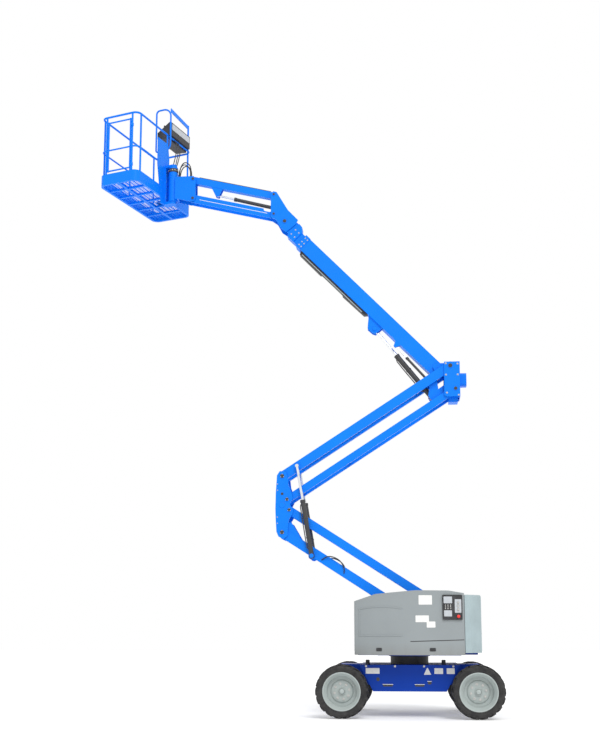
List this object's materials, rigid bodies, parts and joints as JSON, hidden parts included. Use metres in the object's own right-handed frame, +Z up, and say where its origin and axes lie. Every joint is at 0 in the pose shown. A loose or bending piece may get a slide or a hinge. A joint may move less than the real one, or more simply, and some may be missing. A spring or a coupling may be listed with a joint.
{
  "type": "articulating boom lift",
  "caption": "Self-propelled articulating boom lift: wheeled chassis, slewing turntable, folding risers, telescopic boom, jib and railed work platform.",
  "frame": {"origin": "on the ground under the slew axis", "axes": "+Z up; -X towards the platform over the drive axle; -Y the side with the ground controls"},
  "size_m": [6.4963, 2.28, 10.4446],
  "materials": {
    "boom_blue": "gloss",
    "chassis_blue": "gloss",
    "cover_grey": "satin",
    "weight_grey": "satin",
    "black_paint": "satin",
    "black_plastic": "matte",
    "rod_chrome": "polished",
    "rim_grey": "satin",
    "tyre_black": "matte",
    "engine_grey": "satin"
  },
  "bodies": {
    "chassis": {"chassis_frame": "chassis_blue", "slew_ring": "black_paint", "deck_bumpers": "black_plastic", "drive_axle": "black_paint", "steer_axle": "black_paint"},
    "wheel_drive_near": {"tyre_drive_near": "tyre_black", "rim_drive_near": "rim_grey"},
    "wheel_drive_far": {"tyre_drive_far": "tyre_black", "rim_drive_far": "rim_grey"},
    "knuckle_near": {"knuckle_near": "black_paint"},
    "knuckle_far": {"knuckle_far": "black_paint"},
    "wheel_steer_near": {"tyre_steer_near": "tyre_black", "rim_steer_near": "rim_grey"},
    "wheel_steer_far": {"tyre_steer_far": "tyre_black", "rim_steer_far": "rim_grey"},
    "steering_rod": {"steering_rod": "rod_chrome"},
    "turntable": {"turntable_frame": "chassis_blue", "counterweight": "weight_grey", "engine_block": "engine_grey"},
    "cover_near": {"cover_near": "cover_grey", "ground_panel": "black_plastic"},
    "cover_far": {"cover_far": "cover_grey"},
    "lower_arm": {"lower_arm": "boom_blue", "riser_pins": "boom_blue"},
    "lower_link": {"lower_link": "boom_blue"},
    "mid_link": {"mid_link": "boom_blue"},
    "upper_arm": {"upper_arm": "boom_blue"},
    "upper_link": {"upper_link": "boom_blue"},
    "upper_pivot": {"upper_pivot": "boom_blue"},
    "riser_barrels": {"riser_barrels": "black_paint"},
    "riser_rods": {"riser_rods": "rod_chrome"},
    "main_boom": {"main_boom": "boom_blue", "hose_carrier": "black_plastic"},
    "lift_barrel": {"lift_barrel": "black_paint"},
    "lift_rod": {"lift_rod": "rod_chrome"},
    "level_barrel": {"level_barrel": "black_paint"},
    "level_rod": {"level_rod": "rod_chrome"},
    "extension_boom": {"extension_boom": "boom_blue"},
    "jib_mount": {"jib_mount": "boom_blue"},
    "jib_arm": {"jib_arm": "boom_blue"},
    "jib_link": {"jib_link": "boom_blue"},
    "jib_barrel": {"jib_barrel": "black_paint"},
    "jib_rod": {"jib_rod": "rod_chrome"},
    "jib_tip": {"jib_tip": "boom_blue"},
    "platform": {"platform_post": "boom_blue", "platform_floor": "boom_blue", "platform_rails": "boom_blue", "control_box": "black_plastic"},
    "platform_gate": {"platform_gate": "boom_blue"}
  },
  "joints": [
    {"name": "drive_near_spin", "type": "hinge", "parent": "chassis", "child": "wheel_drive_near", "pos_m": [-1.015, -0.98, 0.4], "axis": [0, 1, 0], "continuous": true},
    {"name": "drive_far_spin", "type": "hinge", "parent": "chassis", "child": "wheel_drive_far", "pos_m": [-1.015, 0.98, 0.4], "axis": [0, 1, 0], "continuous": true},
    {"name": "steer_near", "type": "hinge", "parent": "chassis", "child": "knuckle_near", "pos_m": [1.015, -0.87, 0.4], "axis": [0, 0, 1], "range_deg": [-30, 30]},
    {"name": "steer_far", "type": "hinge", "parent": "chassis", "child": "knuckle_far", "pos_m": [1.015, 0.87, 0.4], "axis": [0, 0, 1], "range_deg": [-30.5, 30.5]},
    {"name": "steering_rod_slide", "type": "slide", "parent": "chassis", "child": "steering_rod", "axis": [0, 1, 0], "range_m": [-0.07714, 0.07714]},
    {"name": "steer_near_spin", "type": "hinge", "parent": "knuckle_near", "child": "wheel_steer_near", "pos_m": [1.015, -0.98, 0.4], "axis": [0, 1, 0], "continuous": true},
    {"name": "steer_far_spin", "type": "hinge", "parent": "knuckle_far", "child": "wheel_steer_far", "pos_m": [1.015, 0.98, 0.4], "axis": [0, 1, 0], "continuous": true},
    {"name": "slew", "type": "hinge", "parent": "chassis", "child": "turntable", "pos_m": [0, 0, 0.905], "axis": [0, 0, 1], "range_deg": [-177.5, 177.5]},
    {"name": "cover_near_lift", "type": "hinge", "parent": "turntable", "child": "cover_near", "pos_m": [0, -0.285, 1.828], "axis": [-1, 0, 0], "range_deg": [0, 50]},
    {"name": "cover_far_lift", "type": "hinge", "parent": "turntable", "child": "cover_far", "pos_m": [0, 0.285, 1.828], "axis": [1, 0, 0], "range_deg": [0, 50]},
    {"name": "riser", "type": "hinge", "parent": "turntable", "child": "lower_arm", "pos_m": [0.7326, 0, 1.0945], "axis": [0, 1, 0], "range_deg": [-31, 18]},
    {"name": "lower_link_turn", "type": "hinge", "parent": "turntable", "child": "lower_link", "pos_m": [0.8476, 0, 1.4575], "axis": [0, 1, 0], "range_deg": [-31.5, 18.5]},
    {"name": "mid_link_turn", "type": "hinge", "parent": "lower_arm", "child": "mid_link", "pos_m": [-2.01799, 0, 2.87394], "axis": [0, 1, 0], "range_deg": [-18.5, 31.5]},
    {"name": "upper_arm_turn", "type": "hinge", "parent": "mid_link", "child": "upper_arm", "pos_m": [-2.01799, 0, 3.79194], "axis": [0, 1, 0], "range_deg": [-18.5, 31.5]},
    {"name": "upper_link_turn", "type": "hinge", "parent": "mid_link", "child": "upper_link", "pos_m": [-1.93799, 0, 3.40994], "axis": [0, 1, 0], "range_deg": [-18.5, 31.5]},
    {"name": "upper_pivot_turn", "type": "hinge", "parent": "upper_arm", "child": "upper_pivot", "pos_m": [0.7326, 0, 5.57138], "axis": [0, 1, 0], "range_deg": [-31.5, 18.5]},
    {"name": "riser_barrels_turn", "type": "hinge", "parent": "lower_arm", "child": "riser_barrels", "pos_m": [-1.53392, 0, 2.48813], "axis": [0, 1, 0], "range_deg": [-13.89, 23.71]},
    {"name": "riser_rods_slide", "type": "slide", "parent": "riser_barrels", "child": "riser_rods", "axis": [-0.1612, 0, 0.9869], "range_m": [-0.38653, 0.22485]},
    {"name": "boom_lift", "type": "hinge", "parent": "upper_pivot", "child": "main_boom", "pos_m": [0.514, 0, 5.56998], "axis": [0, 1, 0], "range_deg": [-45.8, 29.2]},
    {"name": "lift_barrel_turn", "type": "hinge", "parent": "upper_pivot", "child": "lift_barrel", "pos_m": [0.43, 0, 5.08998], "axis": [0, 1, 0], "range_deg": [-37.53, 24.04]},
    {"name": "lift_rod_slide", "type": "slide", "parent": "lift_barrel", "child": "lift_rod", "axis": [-0.6191, 0, 0.7853], "range_m": [-0.30679, 0.19596]},
    {"name": "level_barrel_turn", "type": "hinge", "parent": "upper_pivot", "child": "level_barrel", "pos_m": [0.38, 0, 5.34998], "axis": [0, 1, 0], "range_deg": [-43.77, 28.02]},
    {"name": "level_rod_slide", "type": "slide", "parent": "level_barrel", "child": "level_rod", "axis": [-0.6596, 0, 0.7516], "range_m": [-0.19209, 0.12283]},
    {"name": "boom_extend", "type": "slide", "parent": "main_boom", "child": "extension_boom", "axis": [-0.6972, 0, 0.7169], "range_m": [0, 2.1]},
    {"name": "jib_mount_turn", "type": "hinge", "parent": "extension_boom", "child": "jib_mount", "pos_m": [-1.99825, 0, 8.17776], "axis": [0, 1, 0], "range_deg": [-29.7, 46.3]},
    {"name": "jib_lift", "type": "hinge", "parent": "jib_mount", "child": "jib_arm", "pos_m": [-2.18525, 0, 8.66376], "axis": [0, 1, 0], "range_deg": [-63.8, 46.2]},
    {"name": "jib_link_turn", "type": "hinge", "parent": "jib_mount", "child": "jib_link", "pos_m": [-2.18525, 0, 8.31476], "axis": [0, 1, 0], "range_deg": [-64.3, 46.7]},
    {"name": "jib_tip_turn", "type": "hinge", "parent": "jib_arm", "child": "jib_tip", "pos_m": [-3.59339, 0, 9.00964], "axis": [0, 1, 0], "range_deg": [-46.7, 64.3]},
    {"name": "jib_barrel_turn", "type": "hinge", "parent": "jib_mount", "child": "jib_barrel", "pos_m": [-2.20525, 0, 8.46376], "axis": [0, 1, 0], "range_deg": [-63.9, 46.35]},
    {"name": "jib_rod_slide", "type": "slide", "parent": "jib_barrel", "child": "jib_rod", "axis": [-0.9651, 0, 0.2618], "range_m": [-0.20186, 0.14645]},
    {"name": "platform_turn", "type": "hinge", "parent": "jib_tip", "child": "platform", "pos_m": [-3.95999, 0, 8.63994], "axis": [0, 0, 1], "range_deg": [-62, 98]},
    {"name": "gate_swing", "type": "hinge", "parent": "platform", "child": "platform_gate", "pos_m": [-4.50684, -0.76075, 8.95994], "axis": [0, 0, 1], "range_deg": [-85, 0]}
  ],
  "couplings": [
    {"joint": "steer_far", "follows": "steer_near", "ratio": 1},
    {"joint": "steering_rod_slide", "follows": "steer_near", "m_per_rad": -0.1435},
    {"joint": "lower_link_turn", "follows": "riser", "ratio": 1},
    {"joint": "mid_link_turn", "follows": "riser", "ratio": -1},
    {"joint": "upper_arm_turn", "follows": "riser", "ratio": -1},
    {"joint": "upper_link_turn", "follows": "riser", "ratio": -1},
    {"joint": "upper_pivot_turn", "follows": "riser", "ratio": 1},
    {"joint": "riser_barrels_turn", "follows": "riser", "ratio": -0.75512},
    {"joint": "riser_rods_slide", "follows": "riser", "m_per_rad": 0.71255},
    {"joint": "lift_barrel_turn", "follows": "boom_lift", "ratio": 0.81294},
    {"joint": "lift_rod_slide", "follows": "boom_lift", "m_per_rad": 0.38255},
    {"joint": "level_barrel_turn", "follows": "boom_lift", "ratio": 0.94918},
    {"joint": "level_rod_slide", "follows": "boom_lift", "m_per_rad": 0.23905},
    {"joint": "jib_mount_turn", "follows": "boom_lift", "ratio": -1},
    {"joint": "jib_link_turn", "follows": "jib_lift", "ratio": 1},
    {"joint": "jib_tip_turn", "follows": "jib_lift", "ratio": -1},
    {"joint": "jib_barrel_turn", "follows": "jib_lift", "ratio": 0.9968},
    {"joint": "jib_rod_slide", "follows": "jib_lift", "m_per_rad": 0.18038}
  ]
}
